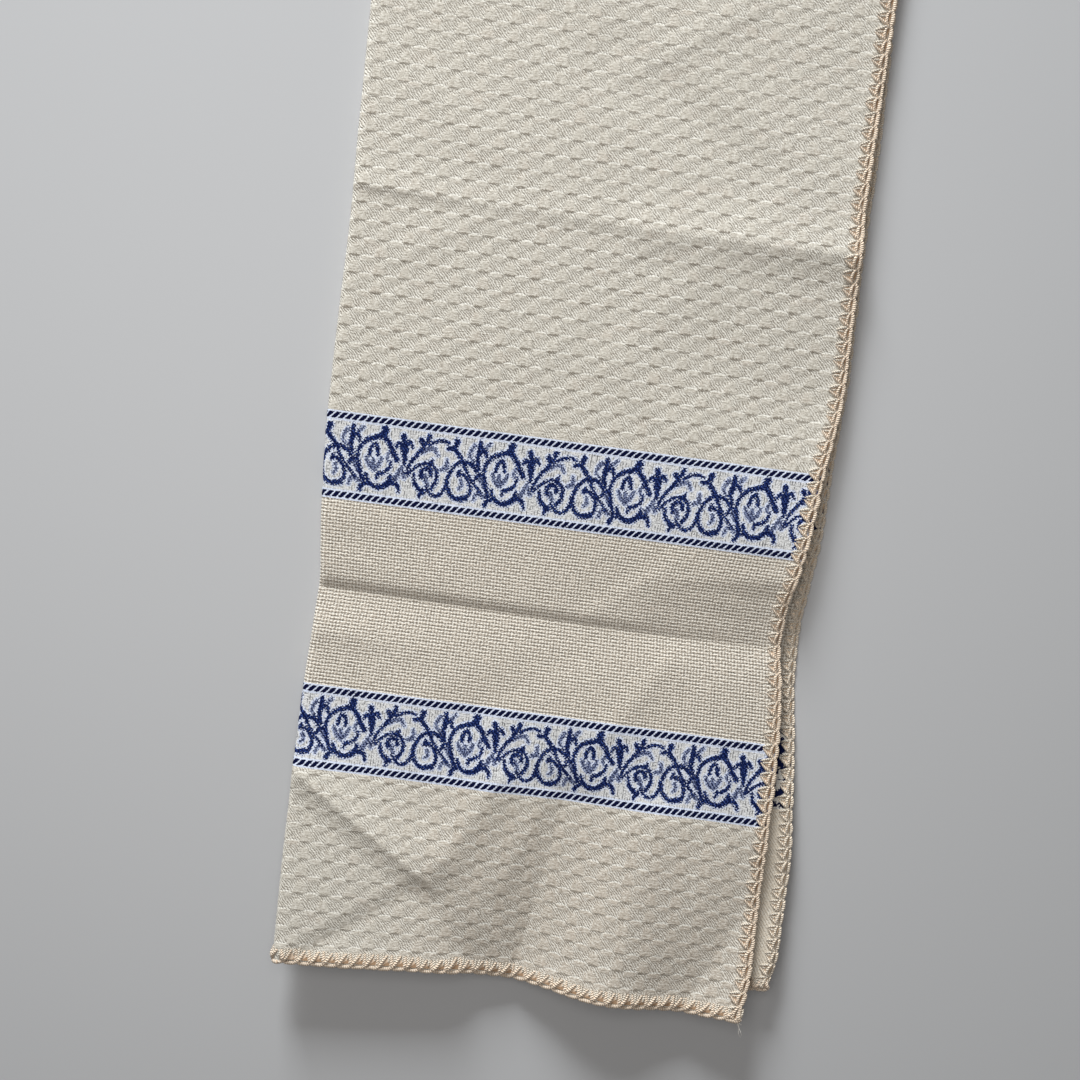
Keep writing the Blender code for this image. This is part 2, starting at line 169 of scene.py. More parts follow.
# The band's ornament, drawn for one repeat with the medallion at x = 0, the lower rope line at y = 0 and the
# upper one at ORNAMENT_HEIGHT: a stroke's widths at both ends, then its points. A stroke reaches less than
# STROKE_REACH beyond its points, and FAR_OUTSIDE is the depth where there is none.
ORNAMENT_HEIGHT = 34.4
PATH_STEPS = 5
STROKE_REACH = 4
FAR_OUTSIDE = -9.0
STROKES = (
    ("medallion, left", 1.3, 2.4, (-9.2, 16.4), (-8.5, 21.4), (-5.4, 25.4), (-0.6, 27.4), (2.4, 28.4)),
    ("medallion, knob", 2.4, 3.2, (1.4, 27.8), (2.2, 30.9)),
    ("medallion, right", 2.0, 2.1, (1.6, 28.2), (4.9, 24.8), (6.8, 21.2), (8.8, 18.4)),
    ("bud", 1.5, 1.5, (-3.7, 19.2), (-3.3, 22.2), (-1.6, 24.2), (-0.4, 22.4), (0.0, 19.6)),
    ("hook", 1.1, 1.7, (6.1, 17.2), (5.5, 14.2), (3.4, 12.2), (0.8, 11.2)),
    ("hook, end", 1.6, 1.2, (0.7, 11.4), (0.2, 9.2)),
    ("garland", 1.5, 2.6, (-4.7, 10.4), (-3.6, 7.6), (-1.0, 5.7), (2.0, 5.5), (4.5, 6.8), (6.2, 8.8)),
    ("garland, right tip", 2.4, 1.2, (6.2, 8.8), (6.3, 11.2)),
    ("garland, tail", 2.2, 1.2, (6.4, 8.3), (8.8, 8.0), (10.2, 6.6), (10.7, 4.6)),
    ("garland, left leaf", 1.5, 1.9, (-4.0, 6.7), (-6.2, 5.5), (-7.0, 3.6)),
    ("tulip, stem", 1.1, 3.6, (12.3, 16.4), (12.0, 20.2), (11.5, 24.4)),
    ("tulip, left petal", 1.9, 1.1, (11.0, 24.8), (8.9, 25.6), (7.8, 23.8)),
    ("tulip, right petal", 1.9, 1.2, (11.8, 25.0), (13.8, 26.8), (15.1, 24.8)),
    ("tulip, top", 2.0, 2.2, (11.6, 25.6), (10.6, 29.2)),
    ("branch", 1.2, 1.7, (13.3, 13.0), (15.0, 18.0), (17.9, 22.3), (20.3, 25.8)),
    ("branch, left fork", 1.5, 2.1, (20.2, 25.6), (18.9, 28.3)),
    ("branch, right fork", 1.5, 1.9, (20.2, 25.8), (21.5, 28.2), (22.2, 30.6)),
    ("vine", 1.3, 1.1, (22.6, 26.9), (25.7, 28.7), (28.7, 29.3), (31.2, 28.6)),
    ("vine, bracket", 1.7, 1.9, (31.2, 26.3), (33.6, 26.8)),
    ("vine, knob", 1.7, 2.5, (34.0, 26.5), (34.8, 29.9)),
    ("vine, fall", 1.9, 1.6, (33.8, 26.7), (36.4, 23.8), (38.7, 20.9), (39.6, 18.8)),
    ("scroll", 1.0, 1.7, (14.2, 12.4), (17.5, 16.4), (21.3, 18.4), (24.3, 18.3), (26.8, 15.8),
     (27.2, 11.6), (25.3, 7.9)),
    ("scroll, leaf", 2.3, 1.0, (23.8, 18.3), (24.8, 20.4)),
    ("scroll, flower", 1.8, 1.7, (20.4, 12.2), (20.1, 14.6), (21.8, 16.4), (24.0, 15.8), (24.5, 13.7)),
    ("lower curl", 1.2, 2.3, (16.8, 13.0), (17.5, 9.6), (19.6, 7.1), (21.9, 5.9)),
    ("lower curl, tail", 1.9, 1.2, (21.0, 6.2), (20.3, 3.6)),
    ("sweep", 1.2, 1.8, (22.8, 8.4), (25.5, 5.3), (28.4, 5.0), (30.6, 7.1), (31.8, 10.4), (32.3, 13.6),
     (34.0, 17.9), (36.7, 20.6), (39.9, 21.3), (43.0, 20.2), (45.0, 18.2)),
    ("volute", 1.7, 1.4, (31.9, 12.4), (32.9, 8.2), (35.7, 5.2), (39.5, 4.7), (42.2, 6.7), (42.9, 9.9),
     (41.8, 13.2), (39.3, 15.6), (36.7, 15.5)),
    ("volute, foot", 2.0, 2.4, (38.0, 4.9), (41.4, 5.6)),
    ("volute, tip", 1.3, 1.5, (36.6, 15.3), (37.3, 17.0)),
    ("long leaf", 1.2, 1.2, (-17.7, 18.5), (-14.8, 14.4), (-11.6, 10.9), (-9.7, 8.9)),
    ("shell", 1.5, 1.7, (-12.7, 14.4), (-11.2, 16.8), (-8.9, 16.4), (-8.0, 13.4), (-7.0, 10.0),
     (-5.7, 7.4)),
    ("pod", 1.3, 2.5, (-11.3, 18.8), (-12.6, 22.6), (-12.0, 26.6)),
    ("pod, top", 2.5, 1.6, (-11.9, 27.0), (-12.1, 30.9)),
    ("pod, curl", 2.1, 1.2, (-11.6, 26.9), (-9.5, 27.0), (-8.6, 24.5)),
)
HALF_TONE_STROKES = (
    ("medallion, inner leaf", 1.4, 0.9, (5.6, 21.6), (4.3, 19.2), (5.0, 17.4)),
    ("cup, left", 1.3, 2.3, (-5.2, 17.8), (-3.7, 15.0), (-1.4, 13.2)),
    ("cup, right", 2.2, 1.3, (-1.4, 13.4), (0.5, 15.2), (1.7, 18.2)),
    ("cup, middle", 2.0, 1.6, (-1.6, 13.8), (-2.0, 17.2)),
    ("tulip, leaf", 1.0, 2.4, (11.4, 16.0), (10.0, 12.8), (8.6, 9.8)),
    ("tulip, blade", 1.0, 1.8, (11.4, 14.4), (12.6, 11.2)),
    ("bell", 2.0, 1.5, (19.4, 23.3), (22.4, 25.1), (25.2, 25.3)),
    ("bell, tip", 1.3, 0.9, (25.0, 25.2), (26.8, 22.7)),
    ("scroll, cup", 2.4, 1.4, (21.7, 12.6), (23.3, 9.4)),
    ("volute, heart", 1.4, 1.1, (38.3, 13.1), (39.0, 10.8), (37.8, 9.2)),
    ("small leaf", 2.0, 1.4, (31.2, 17.6), (28.9, 16.6)),
    ("small leaf, tip", 1.7, 1.1, (31.4, 18.3), (31.0, 21.3)),
    ("shell, heart", 2.6, 1.4, (-10.0, 15.0), (-8.4, 11.6)),
    ("shell, left frond", 1.2, 1.7, (-12.3, 5.4), (-11.4, 8.0), (-9.6, 8.6)),
    ("shell, right frond", 1.9, 1.2, (-9.8, 8.9), (-8.0, 7.2), (-6.2, 7.0)),
    ("sprig", 0.9, 1.7, (-13.9, 21.6), (-16.2, 24.2), (-15.6, 27.2), (-14.4, 28.9)),
    ("pod, leaf", 1.7, 1.2, (-9.6, 28.6), (-7.7, 30.8)),
)


def rows_of(table, fields):
    """The rows of a table with named fields."""
    return [SimpleNamespace(**dict(zip(fields, row))) for row in table]


def eased(step):
    """0 to 1, starting and ending level."""
    step = np.clip(step, 0.0, 1.0)
    return step * step * (3 - 2 * step)


def curve_of(field):
    """A smooth curve through one field of the cross sections, which doesn't overshoot them."""
    sections = rows_of(SECTIONS, SECTION_FIELDS)
    places = np.array([row.v * MM for row in sections])
    values = np.array([getattr(row, field) * MM for row in sections])
    steps = np.diff(values) / np.diff(places)
    before, after = steps[:-1], steps[1:]
    alike = before * after > 0
    inner = np.where(alike, 2 * before * after / np.where(alike, before + after, 1.0), 0.0)
    slopes = np.concatenate([steps[:1], inner, steps[-1:]])

    def at(place):
        place = np.clip(place, places[0], places[-1])
        i = np.clip(np.searchsorted(places, place, side="right") - 1, 0, len(places) - 2)
        width = places[i + 1] - places[i]
        step = (place - places[i]) / width
        rise = eased(step)
        leaving = step * (1 - step) ** 2 * width * slopes[i]
        arriving = -(step**2) * (1 - step) * width * slopes[i + 1]
        return values[i] * (1 - rise) + values[i + 1] * rise + leaving + arriving

    return at


SECTION = {field: curve_of(field) for field in SECTION_FIELDS[1:]}
FOLD_LINES = rows_of(FOLDS + SLIGHT_FOLDS, FOLD_FIELDS)


def fold_rise(fold, x, y):
    """How far one crease or soft fold lifts the upper layer at (x, y)."""
    run_x, run_y = (fold.x1 - fold.x0) * MM, (fold.y1 - fold.y0) * MM
    length = math.hypot(run_x, run_y)
    off_x, off_y = x - fold.x0 * MM, y - fold.y0 * MM
    along = (off_x * run_x + off_y * run_y) / length
    aside = (run_x * off_y - run_y * off_x) / length
    away = np.clip(np.abs(aside) / (np.where(aside > 0, fold.left, fold.right) * MM), 0, 1)
    past = np.maximum(np.maximum(-along, along - length), 0.0)
    share = np.clip(along / length, 0, 1)
    rise = (fold.rise0 + (fold.rise1 - fold.rise0) * share) * MM
    return rise * eased(1 - past / END_FADE) * (1 - away) ** 2 * (1 + 2 * away * (1 - fold.sharp))


def upper_rise(x, y):
    """How far the upper layer stands above its lowest place."""
    fold_x, upper_x = SECTION["fold"](y), SECTION["upper"](y)
    across = np.clip((x - fold_x) / (upper_x - fold_x), 0, 1)
    left, middle, right = (SECTION[field](y) for field in ("left", "middle", "right"))
    bend = 4 * across * (1 - across)
    rise = left + (right - left) * across + (middle - (left + right) / 2) * bend
    rise = rise + sum(fold_rise(fold, x, y) for fold in FOLD_LINES)
    return np.maximum(rise, LEAST_RISE)


def edge_nearness(u, v):
    """1 on the outline of the flat towel and 0 well inside it."""
    inside = np.minimum(np.minimum(u, TOWEL_WIDTH - u), np.minimum(v, TOWEL_LENGTH - v))
    return eased(1 - inside / EDGE_EASE)


def lower_height(u, v, x, y):
    """Middle height of the lower layer: flat on the surface but for the flap at the near hem."""
    resting = CLOTH_THICKNESS / 2 + (EDGING_THICKNESS - CLOTH_THICKNESS) / 2 * edge_nearness(u, v)
    share = FLAP_SHARE * eased((FLAP_START - y) / (FLAP_START - FLAP_END))
    return resting + share * (upper_rise(x, y) - LEAST_RISE)


def upper_height(u, v, x, y):
    """Middle height of the upper layer."""
    spacing = CLOTH_THICKNESS + LAYER_GAP
    return CLOTH_THICKNESS / 2 + spacing + UPPER_EDGE_LIFT * edge_nearness(u, v) + upper_rise(x, y)


def hem_draw(x, v):
    """How far a place near the hem is drawn up the towel."""
    across = eased(1 - np.abs(x - HEM_DRAW_MIDDLE) / HEM_DRAW_REACH)
    return HEM_DRAW * across * eased(1 - v / HEM_DRAW_DEPTH)


def turn_at_fold(v):
    """The turn of cloth at the fold: u at its middle, its x there, its radius and its middle height."""
    u, x = FOLD_AT_HEM + v * math.tan(FOLD_SLANT), SECTION["fold"](v)
    top, bottom = upper_height(u, v, x, v), lower_height(u, v, x, v)
    return u, x, (top - bottom) / 2, (top + bottom) / 2


def table_points(u, v):
    """Where points of the flat towel lie, from the near hem's end of the folded edge."""
    fold_u, fold_x, radius, fold_z = turn_at_fold(v)
    upper_x, lower_x, climb = (SECTION[field](v) for field in ("upper", "lower", "climb"))
    half_turn = math.pi * radius / 2
    inner_x = fold_x + radius
    over_x = upper_x + (inner_x - upper_x) * u / (fold_u - half_turn)
    over_y = v + hem_draw(over_x, v)
    over = (over_x, over_y, upper_height(u, v, over_x, over_y))
    share = (u - fold_u - half_turn) / (TOWEL_WIDTH - fold_u - half_turn)
    under_x = inner_x + (lower_x - inner_x) * share
    under_y = v + hem_draw(under_x, v) + climb * share
    under = (under_x, under_y, lower_height(u, v, under_x, under_y))
    turn = (u - fold_u) / radius
    turned = (inner_x - radius * np.cos(turn), v + hem_draw(fold_x, v), fold_z - radius * np.sin(turn))
    before, after = u <= fold_u - half_turn, u >= fold_u + half_turn
    return np.stack([np.where(before, a, np.where(after, b, c)) for a, b, c in zip(over, under, turned)], -1)


def table_corner():
    """The shift from the folded edge's near end to the frame, read from the far hem's solid."""
    low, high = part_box("edging_far_hem")
    length = np.array(TOWEL_LENGTH)
    x = low.x - (float(SECTION["fold"](length)) - EDGING_THICKNESS / 2)
    y = high.y - (TOWEL_LENGTH + float(SECTION["climb"](length)))
    return np.array([x, y, 0.0])


# The step over which the cloth's slope is measured
STEP = 0.4 * MM


def towel_points(u, v, height=0.0):
    """Where points at a height above the cloth's middle lie in the frame. Above is its right side."""
    u, v = np.broadcast_arrays(np.asarray(u, float), np.asarray(v, float))
    point = table_points(u, v)
    across = table_points(u - STEP, v) - table_points(u + STEP, v)
    along = table_points(u, v + STEP) - table_points(u, v - STEP)
    normal = np.cross(across, along)
    normal /= np.linalg.norm(normal, axis=-1, keepdims=True)
    return point + normal * np.asarray(height)[..., None] + CORNER


def smooth_path(points, steps):
    """A curve through the points, with steps to each stretch."""
    points = np.array(points, float)
    ends = np.concatenate([[2 * points[0] - points[1]], points, [2 * points[-1] - points[-2]]])
    t = (np.arange(steps) / steps)[:, None]
    found = []
    for a, b, c, d in zip(ends, ends[1:], ends[2:], ends[3:]):
        found.append(b + t * (c - a) / 2 + t**2 * (a - 2.5 * b + 2 * c - d / 2)
                     + t**3 * (1.5 * (b - c) + (d - a) / 2))
    return np.concatenate([*found, points[-1:]])


def stroke_depth(points, width0, width1, x, y):
    """How deep inside one stroke the places (x, y) lie, below zero outside it."""
    path = smooth_path(points, PATH_STEPS)
    depth = np.full(x.shape, FAR_OUTSIDE)
    share = np.linspace(0, 1, len(path))
    for (ax, ay), (bx, by), s0, s1 in zip(path, path[1:], share, share[1:]):
        run_x, run_y = bx - ax, by - ay
        t = np.clip(((x - ax) * run_x + (y - ay) * run_y) / (run_x**2 + run_y**2), 0, 1)
        width = width0 + (width1 - width0) * (s0 + (s1 - s0) * t)
        depth = np.maximum(depth, width / 2 - np.hypot(x - ax - t * run_x, y - ay - t * run_y))
    return depth


def strokes_depth(strokes, x, y):
    """How deep inside any of these strokes the places (x, y) lie."""
    depth = np.full(x.shape, FAR_OUTSIDE)
    for _, width0, width1, *points in strokes:
        first = min(point[0] for point in points) - STROKE_REACH
        last = max(point[0] for point in points) + STROKE_REACH
        for shift in (-REPEAT, 0, REPEAT):
            near = (x + shift > first) & (x + shift < last)
            if near.any():
                found = stroke_depth(points, width0, width1, x[near] + shift, y[near])
                depth[near] = np.maximum(depth[near], found)
    return depth


def ornament(s, v, lower_line, upper_line):
    """Depth inside the solid and the half-tone strokes of a band, at s across from the fold."""
    x = (s - MEDALLION_AT + REPEAT / 2) % REPEAT - REPEAT / 2
    y = (v - lower_line) * ORNAMENT_HEIGHT / (upper_line - lower_line)
    return strokes_depth(STROKES, x, y), strokes_depth(HALF_TONE_STROKES, x, y)


def rope_depth(s, v):
    """How deep inside a rope line's slanted dashes the places lie."""
    pitch = REPEAT / DASHES_A_REPEAT
    depth = np.full(s.shape, FAR_OUTSIDE)
    for line in ROPE_LINES:
        up = v - line
        across = (s - ROPE_SLANT * up + pitch / 2) % pitch - pitch / 2
        from_side = (ROPE_HALF_WIDTH - np.abs(across)) * ROPE_NARROWING
        depth = np.maximum(depth, np.minimum(from_side, ROPE_HALF_HEIGHT - np.abs(up)))
    return depth


# The relief of the weaves: half widths and places of a scale's dome and cap, and how far its parts rise
DOME_HALF_WIDTH, DOME_TAPER, DOME_TOP = 3.4, 0.26, 6.2
CAP_HALF_WIDTH, CAP_FOOT = 3.0, 3.8
SIDE_SOFTNESS, END_SOFTNESS = 2, 2.5
SCALE_RISE, SLOT_DEPTH, BRIDGE_RISE = 0.05, 0.05, 0.035
BASKET_RISE_ACROSS, BASKET_RISE_ALONG = 0.06, 0.09
BAND_RISE, BAND_SOFTNESS = 0.14, 0.5


def oval(x, y, half_width, half_height):
    """0 at the middle of an oval and 1 on its outline. x and y may be arrays or a material's numbers."""
    across, along = x / half_width, y / half_height
    return across * across + along * along


def scale_relief(s, v):
    """Rise of the scale weave: domes and caps, with a slot under each dome and a float over each cap."""
    x = (s - SCALE_AT[0] + SCALE_WIDTH / 2) % SCALE_WIDTH - SCALE_WIDTH / 2
    y = (v - SCALE_AT[1] + SCALE_HEIGHT / 2) % SCALE_HEIGHT - SCALE_HEIGHT / 2
    side = SCALE_WIDTH / 2 - np.abs(x)
    up = y % SCALE_HEIGHT
    dome = eased((DOME_HALF_WIDTH - DOME_TAPER * up - np.abs(x)) / SIDE_SOFTNESS + 0.5)
    dome = dome * eased((DOME_TOP - up) / END_SOFTNESS)
    cap = eased((CAP_HALF_WIDTH - side) / SIDE_SOFTNESS + 0.5) * eased((up - CAP_FOOT) / END_SOFTNESS)
    slot = eased(1.25 - oval(x, y, half_width=2.5, half_height=0.8))
    bridge = eased(1.3 - oval(side, y - 0.3, half_width=2.8, half_height=0.9))
    return SCALE_RISE * np.maximum(dome, cap) - SLOT_DEPTH * slot + BRIDGE_RISE * bridge


def basket_relief(s, v):
    """Rise of the basket weave: one small cushion a cell."""
    across = np.cos(2 * np.pi * s / BASKET_WIDTH)
    along = np.cos(2 * np.pi * v / BASKET_HEIGHT)
    return BASKET_RISE_ACROSS * across + BASKET_RISE_ALONG * along


def band_relief(depth):
    """Rise of a band: its blue threads stand up from the ground."""
    return BAND_RISE * eased(depth / BAND_SOFTNESS + 0.5)


def lines_at(first, last, pitch, phase):
    """Places from first to last that fall on the pitch, and the two ends."""
    counts = np.arange(math.ceil((first - phase) / pitch), math.floor((last - phase) / pitch) + 1)
    inner = counts * pitch + phase
    inner = inner[(inner > first + pitch / 3) & (inner < last - pitch / 3)]
    return np.concatenate([[first], inner, [last]])


def grid_quads(columns, rows, flip=False):
    """The faces of a grid whose points run along each column line in turn."""
    i, j = np.meshgrid(np.arange(columns - 1), np.arange(rows - 1), indexing="ij")
    a = i * rows + j
    quads = np.stack([a, a + 1, a + rows + 1, a + rows], -1).reshape(-1, 4)
    return quads[:, ::-1] if flip else quads


def part_of(points, faces, material, maps, numbers=None):
    """A part of a mesh piece, with its maps and the numbers on its points."""
    points = points.reshape(-1, 3)
    return SimpleNamespace(points=points, faces=faces, material=material, maps=maps, numbers=numbers or {})


def mesh_object(name, parts, materials):
    """A mesh piece in the frame, made of parts."""
    points, faces, slots = np.concatenate([part.points for part in parts]), [], []
    points[:, 2] = np.maximum(points[:, 2], LOWEST)
    first = 0
    for part in parts:
        faces.extend((part.faces + first).tolist())
        slots.extend([part.material] * len(part.faces))
        first += len(part.points)
    mesh = bpy.data.meshes.new(name)
    mesh.from_pydata(points.tolist(), [], faces)
    corners = np.empty(len(mesh.loops), np.int32)
    mesh.loops.foreach_get("vertex_index", corners)
    for key in parts[0].maps:
        places = np.concatenate([part.maps[key].reshape(-1, 2) for part in parts])[corners]
        mesh.uv_layers.new(name=key).uv.foreach_set("vector", places.astype(np.float32).ravel())
    for key in parts[0].numbers:
        values = np.concatenate([part.numbers[key].ravel() for part in parts])
        mesh.attributes.new(key, "FLOAT", "POINT").data.foreach_set("value", values.astype(np.float32))
    for material in materials:
        mesh.materials.append(material)
    mesh.polygons.foreach_set("material_index", slots)
    mesh.shade_smooth()
    mesh.update()
    piece = bpy.data.objects.new(name, mesh)
    bpy.context.scene.collection.objects.link(piece)
    return piece


def worked(operation):
    """A method of Number that one node works out."""
    return lambda number, *others: number.node(operation, number, *others)


class Number:
    """A number that a material's nodes work out, so that a sum can be written as a sum."""

    def __init__(self, socket):
        self.socket, self.nodes = socket, socket.id_data.nodes

    def node(self, operation, *values):
        node = fill(self.nodes.new("ShaderNodeMath"), dict(enumerate(values)))
        node.operation = operation
        return Number(node.outputs[0])

    __add__ = __radd__ = worked("ADD")
    __mul__ = __rmul__ = worked("MULTIPLY")
    __sub__ = worked("SUBTRACT")
    __truediv__ = worked("DIVIDE")
    size = worked("ABSOLUTE")
    larger = worked("MAXIMUM")

    def __rsub__(self, other):
        return self.node("SUBTRACT", other, self)

    def squared(self):
        return self * self

    def wave(self, length):
        """A sine of this wavelength, from -1 to 1."""
        return self.node("SINE", self * (2 * math.pi / length))

    def within(self, length):
        """The distance to the nearest multiple of length, with its sign."""
        return (self.node("FRACT", self / length + 0.5) - 0.5) * length

    def beyond(self, length):
        """The distance beyond the last multiple of length."""
        return self.node("FRACT", self / length) * length

    def step(self, low, high):
        """0 below low, 1 above high and smooth between them."""
        node = fill(self.nodes.new("ShaderNodeMapRange"), {"Value": self, "From Min": low, "From Max": high})
        node.interpolation_type = "SMOOTHSTEP"
        return Number(node.outputs["Result"])


def fill(node, inputs):
    """A material's node, with these inputs linked to numbers or sockets, or set to plain values."""
    for place, value in inputs.items():
        source = value.socket if isinstance(value, Number) else value
        if isinstance(source, bpy.types.NodeSocket):
            node.id_data.links.new(source, node.inputs[place])
        else:
            node.inputs[place].default_value = source
    return node


class Fabric:
    """A cotton material in the making: its threads' places, in millimetres, and its colour so far."""

    def __init__(self, name, colour, roughness=0.9, sheen=0.12):
        self.material = bpy.data.materials.new(name)
        self.material.use_nodes = True
        self.nodes = self.material.node_tree.nodes
        self.shader = self.nodes["Principled BSDF"]
        fill(self.shader, {"Roughness": roughness, "Sheen Weight": sheen})
        fill(self.shader, {"Sheen Roughness": 0.6, "Specular IOR Level": 0.06})
        threads = self.nodes.new("ShaderNodeUVMap")
        threads.uv_map = "Threads"
        self.place = threads.outputs["UV"]
        parts = fill(self.nodes.new("ShaderNodeSeparateXYZ"), {0: self.place})
        self.s, self.v = Number(parts.outputs["X"]), Number(parts.outputs["Y"])
        self.colour = colour

    def attribute(self, name):
        node = self.nodes.new("ShaderNodeAttribute")
        node.attribute_name = name
        return Number(node.outputs["Fac"])

    def noise(self, across, along):
        """Noise from 0 to 1 with features of this size across and along."""
        stretch = fill(self.nodes.new("ShaderNodeVectorMath"), {0: self.place, 1: (1 / across, 1 / along, 1)})
        stretch.operation = "MULTIPLY"
        node = self.nodes.new("ShaderNodeTexNoise")
        fill(node, {"Vector": stretch.outputs[0], "Scale": 1, "Detail": 2})
        return Number(node.outputs["Fac"])

    def tint(self, amount, colour):
        """Moves the colour so far towards another one."""
        node = self.nodes.new("ShaderNodeMix")
        node.data_type = "RGBA"
        fill(node, {"Factor": amount, "A": self.colour, "B": colour})
        self.colour = node.outputs["Result"]

    def finish(self, height, depth):
        """Sets the colour, and a bump of this depth in metres."""
        bump = fill(self.nodes.new("ShaderNodeBump"), {"Strength": 1, "Distance": depth, "Height": height})
        fill(self.shader, {"Base Color": self.colour, "Normal": bump.outputs[0]})
        return self.material


CREAM = (0.665, 0.625, 0.545, 1)
CREAM_BACK = (0.76, 0.675, 0.555, 1)
CREAM_BASKET = (0.72, 0.645, 0.55, 1)
# CREAM_LIGHT and CREAM_DARK tint the threads' grain and stripes, and also paint highlight on the basket's
# beads and shade in its holes and in the scales' slots
CREAM_LIGHT = (0.95, 0.92, 0.84, 1)
CREAM_DARK = (0.19, 0.155, 0.115, 1)
BLUSH = (0.68, 0.59, 0.50, 1)
# Painted warm shade, laid over the near end away from the fold, where its troughs lie in shade
PAINTED_WARM_SHADE = (0.58, 0.49, 0.40, 1)
WHITE = (0.70, 0.70, 0.70, 1)
WHITE_BACK = (0.72, 0.70, 0.66, 1)
WHITE_LIGHT = (0.92, 0.925, 0.925, 1)
COOL_WHITE = (0.76, 0.83, 1.0, 1)
COOL_SHADE = (0.26, 0.29, 0.44, 1)
GREY_THREAD = (0.13, 0.13, 0.14, 1)
NAVY = (0.003, 0.005, 0.035, 1)
BLUE = (0.003, 0.007, 0.047, 1)
PALE_BLUE = (0.07, 0.13, 0.44, 1)
HALF_BLUE = (0.36, 0.43, 0.68, 1)

# Where the scale weave shows less: from the middle fold on, and towards the near hem, where painted warm
# shade is also laid
FAINT_AT_MIDDLE = (340, 430)
FAINT_AT_HEM = (110, 70)


def scales_material():
    """Cream cotton in the scale weave: domes and caps on a lattice of stripes, with slots and floats. The
    slots' dark and the warm tint over the near end are painted shade.
    """
    cloth = Fabric("cotton_scales", CREAM)
    grain, fine = cloth.noise(1.1, 0.7), cloth.noise(0.7, 0.6)
    ticks = cloth.noise(1.9, 0.75)
    wander = (cloth.noise(3.5, 2.5) - 0.5) * 1.8
    s, v = cloth.s + wander, cloth.v + wander * 0.35
    x = (s - SCALE_AT[0]).within(SCALE_WIDTH)
    y = (v - SCALE_AT[1]).within(SCALE_HEIGHT)
    up = (v - SCALE_AT[1]).beyond(SCALE_HEIGHT)
    side = (s - SCALE_AT[0] - SCALE_WIDTH / 2).within(SCALE_WIDTH)
    falling = (s + 0.85 * v).wave(1.35) * 0.5 + 0.5
    ragged = (grain - 0.5) * 3.6
    dome = (3.0 - up * 0.28 - x.size() + ragged).step(-0.6, 0.6) * up.step(5.8, 4.2)
    cap = (2.5 - side.size() + ragged).step(-0.6, 0.6) * up.step(4.6, 6.2)
    striped = 1 - dome.larger(cap)
    pale_arm = (side * (up - SCALE_HEIGHT / 2)).step(3.0, -3.0)
    near_hem = v.step(*FAINT_AT_HEM)
    strength = cloth.noise(16, 12).step(0.35, 0.60) * 0.35 + 0.75
    strength = strength - v.step(*FAINT_AT_MIDDLE) * 0.25 - near_hem * 0.15
    slot = 1.15 - oval(x, y + 0.05, half_width=2.5, half_height=0.66)
    slot = (slot + (grain - 0.5) * 3.8).step(0.0, 0.5)
    float_rise = y - 0.45 + (side / 2.8).squared() * 0.5
    bridge = 1.1 - oval(side, float_rise, half_width=3.3, half_height=0.50)
    bridge = (bridge + (grain - 0.5) * 1.8).step(0.0, 0.6)
    cloth.tint(cloth.noise(12, 7).step(0.5, 0.72) * 0.35, BLUSH)
    # Painted warm shade over the near end, away from the fold, where the cloth's troughs lie in shade
    cloth.tint(near_hem * s.step(20, 100) * 0.55, PAINTED_WARM_SHADE)
    cloth.tint(strength * 0.05, CREAM_DARK)
    cloth.tint(falling.step(0.50, 0.85) * striped * strength * (0.45 + 0.55 * pale_arm), CREAM_LIGHT)
    cloth.tint(falling.step(0.50, 0.08) * striped * strength * (0.62 - 0.38 * pale_arm), CREAM_DARK)
    cloth.tint(ticks.step(0.45, 0.33) * 0.42, CREAM_DARK)
    cloth.tint(ticks.step(0.52, 0.62) * 0.50, CREAM_LIGHT)
    cloth.tint(fine.step(0.52, 0.66) * 0.42, CREAM_LIGHT)
    cloth.tint(fine.step(0.47, 0.33) * 0.38, CREAM_DARK)
    cloth.tint(bridge * strength * 0.88, CREAM_LIGHT)
    # Painted shade: the slot under each dome darkened, roughened by the grain
    cloth.tint(slot * strength * (0.24 + 0.56 * falling), CREAM_DARK)
    height = falling * striped * 0.8 + grain * 0.5 + ticks * 0.6 + bridge * 0.4 - slot * 0.4
    return cloth.finish(height, 0.26 * MM)


def scales_back_material():
    """The wrong side of the scale weave: the stripes of its twill, without the slots."""
    cloth = Fabric("cotton_scales_back", CREAM_BACK)
    grain = cloth.noise(1.3, 0.9)
    falling = (cloth.s - 0.70 * cloth.v + (grain - 0.5) * 1.5).wave(1.5) * 0.5 + 0.5
    patches = cloth.noise(6, 5).step(0.40, 0.60)
    cloth.tint(falling.step(0.45, 0.9) * (0.20 + 0.35 * patches), CREAM_LIGHT)
    cloth.tint(falling.step(0.5, 0.05) * (0.10 + 0.20 * patches), CREAM_DARK)
    cloth.tint(grain.step(0.55, 0.7) * 0.45, CREAM_LIGHT)
    return cloth.finish(falling * 0.5 + grain, 0.22 * MM)


def basket_material():
    """Cream cotton in the plain basket weave: a bead a cell, with small holes at the corners. Besides random
    grain, the beads' tops are lighter as painted highlight and the holes darker as painted shade.
    """
    cloth = Fabric("cotton_basket", CREAM_BASKET)
    wander = (cloth.noise(4, 2.5) - 0.5) * 0.5
    column = (cloth.s + wander).wave(BASKET_WIDTH)
    row = (cloth.v + wander * 0.6).wave(BASKET_HEIGHT)
    grain = cloth.noise(1.0, 0.7)
    bead = column * 0.46 + row * 0.54 + (grain - 0.5) * 3.8
    cloth.tint(cloth.noise(10, 8).step(0.5, 0.75) * 0.3, BLUSH)
    # Painted highlight on the beads' tops and painted shade towards the holes, mixed with random grain
    cloth.tint(bead.step(-0.1, 0.8) * 0.85, CREAM_LIGHT)
    cloth.tint(bead.step(0.1, -0.8) * 0.66, CREAM_DARK)
    return cloth.finish(bead, 0.22 * MM)


